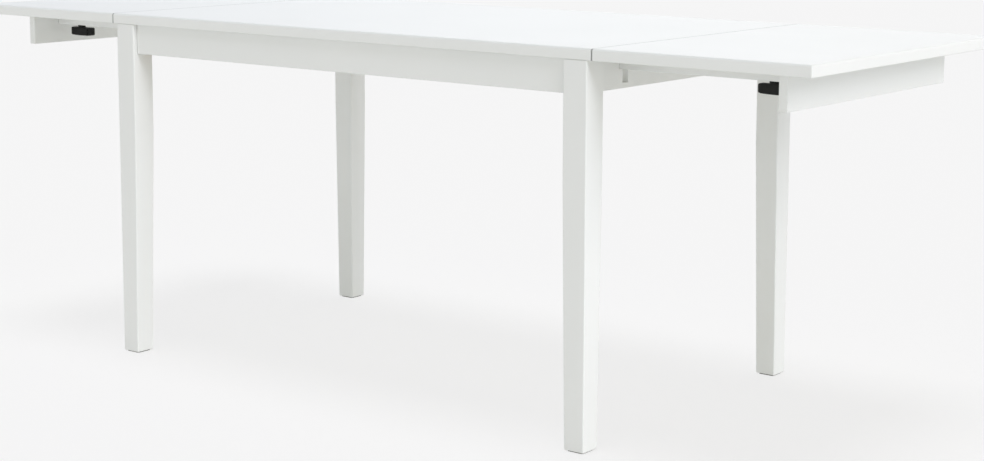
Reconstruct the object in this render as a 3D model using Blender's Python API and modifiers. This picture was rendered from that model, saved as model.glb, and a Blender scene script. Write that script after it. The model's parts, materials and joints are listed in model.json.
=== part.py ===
"""Extending dining table: a fixed middle top on four tapered legs, two pull-out bearer
frames and two loose end leaves.

Origin on the floor under the middle of the top, +X along the length, -Y the front, +Z up,
metres. At rest both frames are pulled out and each carries its leaf.
"""

from math import cos, pi, sin

import bmesh
import bpy
from mathutils import Matrix, Vector

OBJECT_NAME = "extending_table"

# Clearance between pieces that touch.
GAP = 0.0003

# Top: a fixed middle panel and two end leaves of one thickness and width.
TABLE_HEIGHT = 0.750
TOP_THICKNESS = 0.022
TOP_WIDTH = 0.7445
MAIN_TOP_LENGTH = 1.2735
LEAF_LENGTH = 0.444
SEAM = 0.001
TOP_ROUNDING = 0.0045
TOP_LOWER_ROUNDING = 0.002
TOP_CORNER_ROUNDING = 0.003
SEAM_ROUNDING = 0.0006
UNDER_TOP_Z = TABLE_HEIGHT - TOP_THICKNESS

# Legs: straight outer faces, inner faces tapered below TAPER_START_Z.
LEG_SPAN_X = 1.2535
LEG_SPAN_Y = 0.7425
LEG_TOP_SIDE = 0.053
LEG_FOOT_SIDE = 0.0445
TAPER_START_Z = 0.500
LEG_ROUNDING = 0.0028
LEG_CHAMFER = 0.014
GLIDE_HEIGHT = 0.0015
GLIDE_INSET = 0.0045
GLIDE_CORNER = 0.004
GLIDE_PEG_RADIUS = 0.004
GLIDE_PEG_LENGTH = 0.012

# Aprons.
APRON_BOTTOM_Z = 0.6645
APRON_THICKNESS = 0.018
SIDE_APRON_SETBACK = 0.010
END_APRON_SETBACK = 0.020
APRON_ROUNDING = 0.0015
CENTRE_RAIL_BOTTOM_Z = 0.680
CENTRE_RAIL_THICKNESS = 0.018

# Pull-out frames, measured with the frame pulled out.
BEARER_OUTER_Y = 0.240
BEARER_WIDTH = 0.038
BEARER_BOTTOM_Z = 0.7013
BEARER_INNER_X = 0.400
END_BOARD_OUTER_X = 1.001
END_BOARD_THICKNESS = 0.018
END_BOARD_HALF_WIDTH = 0.3085
END_BOARD_BOTTOM_Z = 0.658
TIE_BAR_THICKNESS = 0.025

# Guides that hang under the top and carry the bearers; their inner faces stop the tie bars.
GUIDE_LENGTH = 0.060
GUIDE_CHEEK = 0.014
GUIDE_BOTTOM_Z = 0.688
GUIDE_CLEARANCE = 0.0008
STOP_GAP = 0.0005

# Locking knobs under the bearers.
KNOB_PIVOT_X = 0.9245
KNOB_PIVOT_Y = 0.2195
KNOB_BOTTOM_Z = 0.676
KNOB_TOP_Z = 0.695
KNOB_HALF_DEPTH = 0.008
KNOB_LONG_ARM = 0.040
KNOB_SHORT_ARM = 0.032
KNOB_TIP_HALF_DEPTH = 0.0052
KNOB_NECK_RADIUS = 0.0105
KNOB_NECK_HALF_DEPTH = 0.0075
KNOB_EDGE = 0.0012
STEM_RADIUS = 0.003
STEM_COLLAR_RADIUS = 0.0078
STEM_COLLAR_HEIGHT = 0.0016
STEM_SOCKET_FLOOR = 0.006
SLOT_CLEARANCE = 0.0015

# Corner joints.
BLOCK_THICKNESS = 0.024
BLOCK_HEIGHT = 0.046
BLOCK_BOTTOM_Z = 0.672
HANGER_RADIUS = 0.004
HANGER_IN_LEG = 0.026
HANGER_END = 0.014
FLANGE_RADIUS = 0.009
FLANGE_THICKNESS = 0.0016
NUT_RADIUS = 0.0075
NUT_THICKNESS = 0.0075
BOLT_Z = 0.695

# Screw holes, tenons, top brackets and leaf sockets.
SCREW_HOLE_RADIUS = 0.0021
PILOT_DEPTH = 0.0145
TENON_LENGTH = 0.012
TENON_WIDTH = 0.026
TENON_HEIGHT = 0.014
BRACKET_X = 0.300
BRACKET_WIDTH = 0.030
BRACKET_LEG = 0.028
BRACKET_SHEET = 0.002
BRACKET_HOLE = 0.0174
SOCKET_RADIUS = 0.008
SOCKET_BORE = 0.0038
SOCKET_DEPTH = 0.010

ROUND_STEPS = 20
SMALL_ROUND_STEPS = 12

SIDES = (("left", -1), ("right", 1))
DEPTHS = (("front", -1), ("back", 1))


def clear_scene():
    for old in list(bpy.data.objects):
        bpy.data.objects.remove(old)


def make_collection(name):
    collection = bpy.data.collections.new(name)
    bpy.context.scene.collection.children.link(collection)
    return collection


def principled(name, color, roughness, metallic=0.0):
    material = bpy.data.materials.new(name)
    material.use_nodes = True
    shader = material.node_tree.nodes["Principled BSDF"]
    shader.inputs["Base Color"].default_value = (*color, 1.0)
    shader.inputs["Roughness"].default_value = roughness
    shader.inputs["Metallic"].default_value = metallic
    return material


clear_scene()
PARTS = make_collection(OBJECT_NAME)
CUTTERS = make_collection("cutters")


def lacquer(name):
    return principled(name + "_white_lacquer", (0.86, 0.865, 0.86), 0.35)


def black_plastic(name):
    return principled(name + "_black_plastic", (0.018, 0.018, 0.018), 0.42)


def steel(name):
    return principled(name + "_zinc_steel", (0.60, 0.61, 0.62), 0.35, 1.0)


def brass(name):
    return principled(name + "_brass", (0.72, 0.53, 0.25), 0.32, 1.0)


def bare_wood(name):
    return principled(name + "_bare_wood", (0.66, 0.50, 0.33), 0.60)


# ---- shapes


def object_from(bm, name, paint, origin=(0.0, 0.0, 0.0), collection=None):
    """Turns a bmesh that is in world space into an object with its origin where asked."""
    bmesh.ops.translate(bm, verts=bm.verts, vec=-Vector(origin))
    mesh = bpy.data.meshes.new(name)
    bm.to_mesh(mesh)
    bm.free()
    made = bpy.data.objects.new(name, mesh)
    made.location = origin
    if paint:
        mesh.materials.append(paint(name))
    (collection or PARTS).objects.link(made)
    return made


def add_box(bm, low, high):
    low, high = Vector(low), Vector(high)
    place = Matrix.Translation((low + high) / 2) @ Matrix.Diagonal((*(high - low), 1.0))
    return bmesh.ops.create_cube(bm, size=1.0, matrix=place)["verts"]


def add_rod(bm, start, end, radius, steps=ROUND_STEPS):
    start, end = Vector(start), Vector(end)
    along = end - start
    turn = along.to_track_quat("Z", "Y").to_matrix().to_4x4()
    bmesh.ops.create_cone(
        bm,
        cap_ends=True,
        segments=steps,
        radius1=radius,
        radius2=radius,
        depth=along.length,
        matrix=Matrix.Translation((start + end) / 2) @ turn,
    )


def add_turned(bm, rings, direction, steps):
    """Stacks rings of (centre, radius) into one closed turned body."""
    across = direction.orthogonal().normalized()
    beside = direction.cross(across)
    loops = []
    for centre, radius in rings:
        loop = []
        for step in range(steps):
            angle = 2 * pi * step / steps
            offset = across * cos(angle) + beside * sin(angle)
            loop.append(bm.verts.new(centre + offset * radius))
        loops.append(loop)
    bm.faces.new(reversed(loops[0]))
    for lower, upper in zip(loops, loops[1:]):
        for step in range(steps):
            after = (step + 1) % steps
            bm.faces.new((lower[step], lower[after], upper[after], upper[step]))
    bm.faces.new(loops[-1])


def round_edges(obj, width, segments=2, angle=0.6):
    bevel = obj.modifiers.new("rounded edges", "BEVEL")
    bevel.width = width
    bevel.segments = segments
    bevel.limit_method = "ANGLE"
    bevel.angle_limit = angle


def smooth(obj, angle=0.6):
    obj.data.shade_smooth()
    obj.data.set_sharp_from_angle(angle=angle)


def combine(obj, draw, operation):
    """Adds to obj, or takes away from it, the shapes that draw(bm) makes. They stay apart."""
    bm = bmesh.new()
    draw(bm)
    tool = object_from(bm, f"{obj.name}_{draw.__name__}", None, collection=CUTTERS)
    tool.hide_render = True
    tool.display_type = "WIRE"
    boolean = obj.modifiers.new(draw.__name__, "BOOLEAN")
    boolean.operation = operation
    boolean.solver = "EXACT"
    boolean.object = tool


def cut(obj, draw):
    combine(obj, draw, "DIFFERENCE")


def join(obj, draw):
    combine(obj, draw, "UNION")


def board(name, low, high, paint=lacquer, rounding=APRON_ROUNDING, segments=2):
    bm = bmesh.new()
    add_box(bm, low, high)
    made = object_from(bm, name, paint)
    if rounding:
        round_edges(made, rounding, segments)
    return made


def turned_piece(name, paint, draw, origin=(0.0, 0.0, 0.0)):
    bm = bmesh.new()
    draw(bm)
    made = object_from(bm, name, paint, origin)
    smooth(made)
    return made


def ordered(side, near, far):
    """The low and high X of a span from near to far on one side of the table."""
    return sorted((side * near, side * far))


# ---- places worked out from the driving dimensions

LEG_X = LEG_SPAN_X / 2
LEG_Y = LEG_SPAN_Y / 2
LEG_INNER_X = LEG_X - LEG_TOP_SIDE
LEG_INNER_Y = LEG_Y - LEG_TOP_SIDE
SIDE_APRON_OUTER = LEG_Y - SIDE_APRON_SETBACK
SIDE_APRON_INNER = SIDE_APRON_OUTER - APRON_THICKNESS
END_APRON_OUTER = LEG_X - END_APRON_SETBACK
END_APRON_INNER = END_APRON_OUTER - APRON_THICKNESS
BEARER_INNER_Y = BEARER_OUTER_Y - BEARER_WIDTH
BEARER_TOP_Z = UNDER_TOP_Z - GAP
END_BOARD_INNER_X = END_BOARD_OUTER_X - END_BOARD_THICKNESS
GUIDE_INNER_X = BEARER_INNER_X + TIE_BAR_THICKNESS + STOP_GAP
GUIDE_OUTER_X = GUIDE_INNER_X + GUIDE_LENGTH
GUIDE_CHEEK_INNER = BEARER_INNER_Y - GUIDE_CLEARANCE - GUIDE_CHEEK
GUIDE_CHEEK_OUTER = BEARER_OUTER_Y + GUIDE_CLEARANCE + GUIDE_CHEEK
LEG_INSERT_X = LEG_X - LEG_FOOT_SIDE / 2
LEG_INSERT_Y = LEG_Y - LEG_FOOT_SIDE / 2


def corner_axis(side, depth):
    """The hanger bolt's line: the leg's chamfered face and the way into the table."""
    inward = Vector((-side, -depth, 0.0)).normalized()
    corner = Vector((side * LEG_INNER_X, depth * LEG_INNER_Y, BOLT_Z))
    face = corner - inward * LEG_CHAMFER / 2 ** 0.5
    return face, inward


def guide_screw_places():
    """Two screws up through each cheek of each guide, as points in plan."""
    for _, side in SIDES:
        for _, depth in DEPTHS:
            for x in (GUIDE_INNER_X + 0.015, GUIDE_OUTER_X - 0.015):
                for y in (GUIDE_CHEEK_INNER + GUIDE_CHEEK / 2, GUIDE_CHEEK_OUTER - GUIDE_CHEEK / 2):
                    yield side * x, depth * y


# ---- top


def top_panel(name, low, high, seams):
    """One board of the top: its upper edges softly rounded, its edges at a seam nearly sharp."""
    bm = bmesh.new()
    weights = bm.edges.layers.float.new("bevel_weight_edge")
    add_box(bm, low, high)
    for edge in bm.edges:
        ends = [vert.co for vert in edge.verts]
        if any(all(abs(end.x - seam) < GAP for end in ends) for seam in seams):
            rounding = SEAM_ROUNDING
        elif abs(ends[0].z - ends[1].z) > GAP:
            rounding = TOP_CORNER_ROUNDING
        elif ends[0].z > UNDER_TOP_Z + GAP:
            rounding = TOP_ROUNDING
        else:
            rounding = TOP_LOWER_ROUNDING
        edge[weights] = rounding / TOP_ROUNDING
    panel = object_from(bm, name, lacquer)
    round_edges(panel, TOP_ROUNDING, 4)
    panel.modifiers[-1].limit_method = "WEIGHT"
    return panel


def make_main_top():
    half_x, half_y = MAIN_TOP_LENGTH / 2, TOP_WIDTH / 2
    low, high = (-half_x, -half_y, UNDER_TOP_Z), (half_x, half_y, TABLE_HEIGHT)
    top = top_panel("main_top", low, high, seams=(-half_x, half_x))

    def pilot_holes(bm):
        bracket_y = SIDE_APRON_INNER - GAP - BRACKET_HOLE
        places = list(guide_screw_places())
        places += [(side * BRACKET_X, depth * bracket_y) for _, side in SIDES for _, depth in DEPTHS]
        for x, y in places:
            add_rod(bm, (x, y, UNDER_TOP_Z - 0.01), (x, y, UNDER_TOP_Z + PILOT_DEPTH),
                    SCREW_HOLE_RADIUS, SMALL_ROUND_STEPS)

    cut(top, pilot_holes)


def make_leaf(side_name, side):
    near = MAIN_TOP_LENGTH / 2 + SEAM
    low_x, high_x = ordered(side, near, near + LEAF_LENGTH)
    low, high = (low_x, -TOP_WIDTH / 2, UNDER_TOP_Z), (high_x, TOP_WIDTH / 2, TABLE_HEIGHT)
    leaf = top_panel(side_name + "_leaf", low, high, seams=(side * near,))
    x = side * KNOB_PIVOT_X

    def socket_holes(bm):
        for _, depth in DEPTHS:
            y = depth * KNOB_PIVOT_Y
            top = UNDER_TOP_Z + SOCKET_DEPTH + GAP
            add_rod(bm, (x, y, UNDER_TOP_Z - 0.01), (x, y, top), SOCKET_RADIUS + GAP)

    cut(leaf, socket_holes)


def make_leaf_socket(name, side, depth):
    """A brass socket let into the leaf's underside above a knob's stem."""
    x, y = side * KNOB_PIVOT_X, depth * KNOB_PIVOT_Y
    top = UNDER_TOP_Z + SOCKET_DEPTH

    def body(bm):
        add_rod(bm, (x, y, UNDER_TOP_Z), (x, y, top), SOCKET_RADIUS)

    def bore(bm):
        add_rod(bm, (x, y, UNDER_TOP_Z - 0.01), (x, y, top - 0.0015), SOCKET_BORE)

    cut(turned_piece(name, brass, body), bore)


# ---- legs and feet


def make_leg(name, side, depth):
    """Straight outer faces; the two inner faces lean in below the taper line."""
    foot_z = GLIDE_HEIGHT + GAP
    bm = bmesh.new()
    outer = Vector((side * LEG_X, depth * LEG_Y, 0.0))
    inner = Vector((side * LEG_INNER_X, depth * LEG_INNER_Y, 0.0))
    low = Vector((min(outer.x, inner.x), min(outer.y, inner.y), foot_z))
    high = Vector((max(outer.x, inner.x), max(outer.y, inner.y), UNDER_TOP_Z - GAP))
    add_box(bm, low, high)
    bmesh.ops.bisect_plane(
        bm,
        geom=list(bm.verts) + list(bm.edges) + list(bm.faces),
        plane_co=(0.0, 0.0, TAPER_START_Z),
        plane_no=(0.0, 0.0, 1.0),
    )
    lean = LEG_TOP_SIDE - LEG_FOOT_SIDE
    for vert in bm.verts:
        if vert.co.z > foot_z + GAP:
            continue
        if abs(vert.co.x - inner.x) < GAP:
            vert.co.x += side * lean
        if abs(vert.co.y - inner.y) < GAP:
            vert.co.y += depth * lean
    # The upper end meets the top flush, so its edges stay square.
    weights = bm.edges.layers.float.new("bevel_weight_edge")
    for edge in bm.edges:
        at_top = min(vert.co.z for vert in edge.verts) > high.z - GAP
        creased = edge.calc_face_angle() > 0.3
        edge[weights] = 1.0 if creased and not at_top else 0.0
    leg = object_from(bm, name, lacquer)
    round_edges(leg, LEG_ROUNDING, 3)
    leg.modifiers[-1].limit_method = "WEIGHT"
    face, inward = corner_axis(side, depth)

    def bearing_flat(bm):
        # A box turned to the corner's diagonal, so that one face makes the flat.
        across = Vector((inward.y, -inward.x, 0.0))
        turn = Matrix((across, inward, (0.0, 0.0, 1.0))).transposed().to_4x4()
        size = Matrix.Diagonal((0.2, 0.06, BLOCK_HEIGHT + 0.024, 1.0))
        middle = face + inward * 0.03
        middle.z = BLOCK_BOTTOM_Z + BLOCK_HEIGHT / 2
        bmesh.ops.create_cube(bm, size=1.0, matrix=Matrix.Translation(middle) @ turn @ size)

    def holes(bm):
        add_rod(bm, face + inward * 0.01, face - inward * (HANGER_IN_LEG + 0.001), HANGER_RADIUS + GAP)
        x, y = side * LEG_INSERT_X, depth * LEG_INSERT_Y
        peg_top = GLIDE_HEIGHT + GLIDE_PEG_LENGTH + 0.001
        add_rod(bm, (x, y, foot_z - 0.01), (x, y, peg_top), GLIDE_PEG_RADIUS + GAP)

    cut(leg, bearing_flat)
    cut(leg, holes)


def make_glide(name, side, depth):
    """A square pad with rounded corners and a peg that is pushed into the leg's end."""
    half = LEG_FOOT_SIDE / 2 - GLIDE_INSET
    centre = Vector((side * LEG_INSERT_X, depth * LEG_INSERT_Y, 0.0))
    bm = bmesh.new()
    add_box(bm, centre + Vector((-half, -half, 0.0)), centre + Vector((half, half, GLIDE_HEIGHT)))
    upright = [edge for edge in bm.edges if abs(edge.verts[0].co.z - edge.verts[1].co.z) > GLIDE_HEIGHT / 2]
    bmesh.ops.bevel(bm, geom=upright, offset=GLIDE_CORNER, segments=4, affect="EDGES", profile=0.5)
    pad = object_from(bm, name, black_plastic, origin=centre)

    def peg(bm):
        top = centre + Vector((0.0, 0.0, GLIDE_HEIGHT + GLIDE_PEG_LENGTH))
        add_rod(bm, centre + Vector((0.0, 0.0, 0.0005)), top, GLIDE_PEG_RADIUS, SMALL_ROUND_STEPS)

    join(pad, peg)


# ---- aprons, corner blocks and the centre rail


def make_side_apron(name, depth):
    low_y, high_y = ordered(depth, SIDE_APRON_INNER, SIDE_APRON_OUTER)
    half = LEG_INNER_X - GAP
    apron = board(name, (-half, low_y, APRON_BOTTOM_Z), (half, high_y, UNDER_TOP_Z - GAP))

    def bracket_holes(bm):
        z = UNDER_TOP_Z - GAP - BRACKET_HOLE
        for _, side in SIDES:
            x = side * BRACKET_X
            start = (x, depth * (SIDE_APRON_INNER - 0.01), z)
            end = (x, depth * (SIDE_APRON_INNER + 0.0135), z)
            add_rod(bm, start, end, SCREW_HOLE_RADIUS, SMALL_ROUND_STEPS)

    cut(apron, bracket_holes)


def make_end_apron(name, side):
    """Stepped notches let the bearers and the knobs under them slide in and out."""
    low_x, high_x = ordered(side, END_APRON_INNER, END_APRON_OUTER)
    half = LEG_INNER_Y - GAP
    apron = board(name, (low_x, -half, APRON_BOTTOM_Z), (high_x, half, UNDER_TOP_Z - GAP))
    knob_reach = KNOB_HALF_DEPTH + SLOT_CLEARANCE

    def bearer_notches(bm):
        for _, depth in DEPTHS:
            low_y, high_y = ordered(depth, BEARER_INNER_Y - GAP, BEARER_OUTER_Y + GAP)
            top = UNDER_TOP_Z + 0.01
            add_box(bm, (low_x - 0.01, low_y, BEARER_BOTTOM_Z - GAP), (high_x + 0.01, high_y, top))

    def knob_slots(bm):
        for _, depth in DEPTHS:
            y = depth * KNOB_PIVOT_Y
            low_z, high_z = KNOB_BOTTOM_Z - SLOT_CLEARANCE, BEARER_BOTTOM_Z + 0.01
            add_box(bm, (low_x - 0.01, y - knob_reach, low_z), (high_x + 0.01, y + knob_reach, high_z))

    cut(apron, bearer_notches)
    cut(apron, knob_slots)


def make_corner_block(name, side, depth):
    """A block across the corner: bears on the leg's flat and on both aprons."""
    face, inward = corner_axis(side, depth)
    apron_x, apron_y = END_APRON_INNER - GAP, SIDE_APRON_INNER - GAP

    def on_line(distance):
        # Where the line across the corner, distance from the leg's flat, meets the aprons.
        total = (abs(face.x) + abs(face.y)) - distance * 2 ** 0.5
        return Vector((total - apron_y, apron_y)), Vector((apron_x, total - apron_x))

    outer_a, outer_b = on_line(GAP)
    inner_a, inner_b = on_line(GAP + BLOCK_THICKNESS)
    outline = bpy.data.curves.new(name, "CURVE")
    outline.dimensions = "2D"
    outline.fill_mode = "BOTH"
    outline.extrude = BLOCK_HEIGHT / 2
    spline = outline.splines.new("POLY")
    spline.points.add(3)
    for point, corner in zip(spline.points, (outer_a, outer_b, inner_b, inner_a)):
        point.co = (side * corner.x, depth * corner.y, 0.0, 1.0)
    spline.use_cyclic_u = True
    shape = bpy.data.objects.new(name + "_outline", outline)
    shape.location = (0.0, 0.0, BLOCK_BOTTOM_Z + BLOCK_HEIGHT / 2)
    PARTS.objects.link(shape)
    block = mesh_from_curve(shape, name, bare_wood)

    def bolt_hole(bm):
        add_rod(bm, face - inward * 0.01, face + inward * (BLOCK_THICKNESS + 0.01), HANGER_RADIUS + GAP)

    cut(block, bolt_hole)


def mesh_from_curve(shape, name, paint):
    """Replaces a filled curve by a mesh whose caps are welded to its sides."""
    bpy.context.view_layer.update()
    evaluated = shape.evaluated_get(bpy.context.evaluated_depsgraph_get())
    mesh = bpy.data.meshes.new_from_object(evaluated)
    bm = bmesh.new()
    bm.from_mesh(mesh)
    bmesh.ops.remove_doubles(bm, verts=bm.verts, dist=0.00005)
    bmesh.ops.recalc_face_normals(bm, faces=bm.faces)
    bm.to_mesh(mesh)
    bm.free()
    mesh.materials.clear()
    mesh.materials.append(paint(name))
    made = bpy.data.objects.new(name, mesh)
    made.matrix_world = shape.matrix_world
    PARTS.objects.link(made)
    bpy.data.objects.remove(shape)
    return made


def make_hanger_bolt(name, side, depth):
    face, inward = corner_axis(side, depth)
    end = face + inward * (BLOCK_THICKNESS + GAP + HANGER_END)

    def body(bm):
        add_rod(bm, face - inward * HANGER_IN_LEG, end, HANGER_RADIUS, SMALL_ROUND_STEPS)

    turned_piece(name, steel, body)


def make_flange_nut(name, side, depth):
    """A hexagon nut with a round flange that bears on the corner block."""
    face, inward = corner_axis(side, depth)
    seat = face + inward * (BLOCK_THICKNESS + 2 * GAP)

    def flange(bm):
        add_rod(bm, seat, seat + inward * FLANGE_THICKNESS, FLANGE_RADIUS)

    def hexagon(bm):
        add_rod(bm, seat + inward * FLANGE_THICKNESS / 2, seat + inward * NUT_THICKNESS, NUT_RADIUS, 6)

    def bore(bm):
        add_rod(bm, seat - inward * 0.01, seat + inward * 0.03, HANGER_RADIUS + GAP, SMALL_ROUND_STEPS)

    nut = turned_piece(name, steel, flange)
    join(nut, hexagon)
    cut(nut, bore)


def make_centre_rail():
    half = CENTRE_RAIL_THICKNESS / 2
    reach = SIDE_APRON_INNER - GAP
    board("centre_rail", (-half, -reach, CENTRE_RAIL_BOTTOM_Z), (half, reach, UNDER_TOP_Z - GAP), bare_wood)


# ---- guides and top brackets


def make_guide(name, side, depth):
    """A U-shaped hanger that the bearer slides through."""
    low_x, high_x = ordered(side, GUIDE_INNER_X, GUIDE_OUTER_X)
    low_y, high_y = ordered(depth, GUIDE_CHEEK_INNER, GUIDE_CHEEK_OUTER)
    guide = board(name, (low_x, low_y, GUIDE_BOTTOM_Z), (high_x, high_y, UNDER_TOP_Z - GAP), bare_wood)
    channel = ordered(depth, BEARER_INNER_Y - GUIDE_CLEARANCE, BEARER_OUTER_Y + GUIDE_CLEARANCE)

    def channel_and_holes(bm):
        top = UNDER_TOP_Z + 0.01
        add_box(bm, (low_x - 0.01, channel[0], BEARER_BOTTOM_Z - GAP), (high_x + 0.01, channel[1], top))
        for x, y in guide_screw_places():
            if low_x < x < high_x and low_y < y < high_y:
                add_rod(bm, (x, y, GUIDE_BOTTOM_Z - 0.01), (x, y, top), SCREW_HOLE_RADIUS, SMALL_ROUND_STEPS)

    cut(guide, channel_and_holes)


def make_top_bracket(name, side, depth):
    """A bent steel angle that holds the top down to a side apron."""
    top = UNDER_TOP_Z - GAP
    wall = SIDE_APRON_INNER - GAP
    low_x, high_x = side * BRACKET_X - BRACKET_WIDTH / 2, side * BRACKET_X + BRACKET_WIDTH / 2
    low_y, high_y = ordered(depth, wall - BRACKET_LEG, wall)
    bracket = board(name, (low_x, low_y, top - BRACKET_LEG), (high_x, high_y, top), steel, rounding=0.0)

    def inside_of_angle(bm):
        low, high = ordered(depth, wall - BRACKET_LEG - 0.01, wall - BRACKET_SHEET)
        add_box(bm, (low_x - 0.01, low, top - BRACKET_LEG - 0.01), (high_x + 0.01, high, top - BRACKET_SHEET))

    def screw_holes(bm):
        x, y, z = side * BRACKET_X, depth * (wall - BRACKET_HOLE), top - BRACKET_HOLE
        add_rod(bm, (x, y, top - 0.005), (x, y, top + 0.005), SCREW_HOLE_RADIUS, SMALL_ROUND_STEPS)
        add_rod(bm, (x, depth * (wall - 0.005), z), (x, depth * (wall + 0.005), z), SCREW_HOLE_RADIUS,
                SMALL_ROUND_STEPS)

    cut(bracket, inside_of_angle)
    cut(bracket, screw_holes)


# ---- pull-out frames


def tenon_span_y(depth):
    middle = (BEARER_INNER_Y + BEARER_OUTER_Y) / 2
    return ordered(depth, middle - TENON_WIDTH / 2, middle + TENON_WIDTH / 2)


def tenon_span_z():
    middle = (BEARER_BOTTOM_Z + BEARER_TOP_Z) / 2
    return middle - TENON_HEIGHT / 2, middle + TENON_HEIGHT / 2


def tie_tenon_span_x(side):
    margin = 0.005
    return ordered(side, BEARER_INNER_X + margin, BEARER_INNER_X + TIE_BAR_THICKNESS - margin)


def make_bearer(name, side, depth):
    """Slides through the guide and the end apron; its tenon is glued into the end board."""
    low_x, high_x = ordered(side, BEARER_INNER_X, END_BOARD_INNER_X - GAP)
    low_y, high_y = ordered(depth, BEARER_INNER_Y, BEARER_OUTER_Y)
    bearer = board(name, (low_x, low_y, BEARER_BOTTOM_Z), (high_x, high_y, BEARER_TOP_Z))
    x, y = side * KNOB_PIVOT_X, depth * KNOB_PIVOT_Y
    low_z, high_z = tenon_span_z()

    def tenon(bm):
        tenon_x = ordered(side, END_BOARD_INNER_X - 0.006, END_BOARD_INNER_X + TENON_LENGTH)
        tenon_y = tenon_span_y(depth)
        add_box(bm, (tenon_x[0], tenon_y[0], low_z), (tenon_x[1], tenon_y[1], high_z))

    def stem_hole_and_mortise(bm):
        add_rod(bm, (x, y, BEARER_BOTTOM_Z - 0.01), (x, y, BEARER_TOP_Z + 0.01), STEM_RADIUS + GAP)
        mortise_x = tie_tenon_span_x(side)
        mortise_y = ordered(depth, BEARER_INNER_Y - 0.01, BEARER_INNER_Y + TENON_LENGTH + GAP)
        low = (mortise_x[0] - GAP, mortise_y[0], low_z - GAP)
        high = (mortise_x[1] + GAP, mortise_y[1], high_z + GAP)
        add_box(bm, low, high)

    def collar_recess(bm):
        floor = BEARER_TOP_Z - STEM_COLLAR_HEIGHT - 2 * GAP
        add_rod(bm, (x, y, floor), (x, y, BEARER_TOP_Z + 0.01), STEM_COLLAR_RADIUS + GAP)

    join(bearer, tenon)
    cut(bearer, stem_hole_and_mortise)
    cut(bearer, collar_recess)


def make_end_board(name, side):
    low_x, high_x = ordered(side, END_BOARD_INNER_X, END_BOARD_OUTER_X)
    half = END_BOARD_HALF_WIDTH
    end_board = board(name, (low_x, -half, END_BOARD_BOTTOM_Z), (high_x, half, BEARER_TOP_Z))
    low_z, high_z = tenon_span_z()

    def mortises(bm):
        pocket_x = ordered(side, END_BOARD_INNER_X - 0.01, END_BOARD_INNER_X + TENON_LENGTH + GAP)
        for _, depth in DEPTHS:
            low_y, high_y = tenon_span_y(depth)
            add_box(bm, (pocket_x[0], low_y - GAP, low_z - GAP), (pocket_x[1], high_y + GAP, high_z + GAP))

    cut(end_board, mortises)


def make_tie_bar(name, side):
    """Joins the inner ends of one frame's bearers and stops the frame against the guides."""
    low_x, high_x = ordered(side, BEARER_INNER_X, BEARER_INNER_X + TIE_BAR_THICKNESS)
    half = BEARER_INNER_Y - GAP
    bar = board(name, (low_x, -half, BEARER_BOTTOM_Z), (high_x, half, BEARER_TOP_Z))
    tenon_x, tenon_z = tie_tenon_span_x(side), tenon_span_z()

    def tenons(bm):
        reach = BEARER_INNER_Y + TENON_LENGTH
        for _, depth in DEPTHS:
            low_y, high_y = ordered(depth, half - 0.006, reach)
            add_box(bm, (tenon_x[0], low_y, tenon_z[0]), (tenon_x[1], high_y, tenon_z[1]))

    join(bar, tenons)


# ---- locking knobs


def knob_outline():
    """The lever seen from above. All four are alike and point their long tips towards +X."""
    long_tip, short_tip = KNOB_LONG_ARM, -KNOB_SHORT_ARM
    narrow, wide = KNOB_TIP_HALF_DEPTH, KNOB_HALF_DEPTH
    shoulder_in, shoulder_out = short_tip + 0.010, long_tip - 0.010
    half = [
        (long_tip, narrow * 0.55),
        (long_tip - 0.0015, narrow),
        (shoulder_out, wide),
        (shoulder_in, wide),
        (short_tip + 0.0015, narrow),
        (short_tip, narrow * 0.55),
    ]
    return half + [(x, -y) for x, y in reversed(half)]


def make_knob(name, side, depth):
    """A moulded lever with an oval neck. Its origin is on its turning axis."""
    pivot = Vector((side * KNOB_PIVOT_X, depth * KNOB_PIVOT_Y, 0.0))
    outline = bpy.data.curves.new(name, "CURVE")
    outline.dimensions = "2D"
    outline.fill_mode = "BOTH"
    outline.extrude = (KNOB_TOP_Z - KNOB_BOTTOM_Z) / 2
    corners = knob_outline()
    spline = outline.splines.new("POLY")
    spline.points.add(len(corners) - 1)
    for point, (x, y) in zip(spline.points, corners):
        point.co = (x, y, 0.0, 1.0)
    spline.use_cyclic_u = True
    shape = bpy.data.objects.new(name + "_outline", outline)
    shape.location = (pivot.x, pivot.y, (KNOB_TOP_Z + KNOB_BOTTOM_Z) / 2)
    PARTS.objects.link(shape)
    knob = mesh_from_curve(shape, name, black_plastic)
    round_edges(knob, KNOB_EDGE, 2, angle=0.5)
    neck_top = BEARER_BOTTOM_Z - GAP

    def neck(bm):
        add_rod(bm, (0.0, 0.0, KNOB_TOP_Z - 0.004), (0.0, 0.0, neck_top), KNOB_NECK_RADIUS)
        bmesh.ops.scale(bm, verts=bm.verts, vec=(1.0, KNOB_NECK_HALF_DEPTH / KNOB_NECK_RADIUS, 1.0))
        bmesh.ops.translate(bm, verts=bm.verts, vec=pivot)

    def stem_socket(bm):
        floor = KNOB_BOTTOM_Z + STEM_SOCKET_FLOOR
        add_rod(bm, (pivot.x, pivot.y, floor), (pivot.x, pivot.y, neck_top + 0.01), STEM_RADIUS + GAP)

    join(knob, neck)
    cut(knob, stem_socket)


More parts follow.
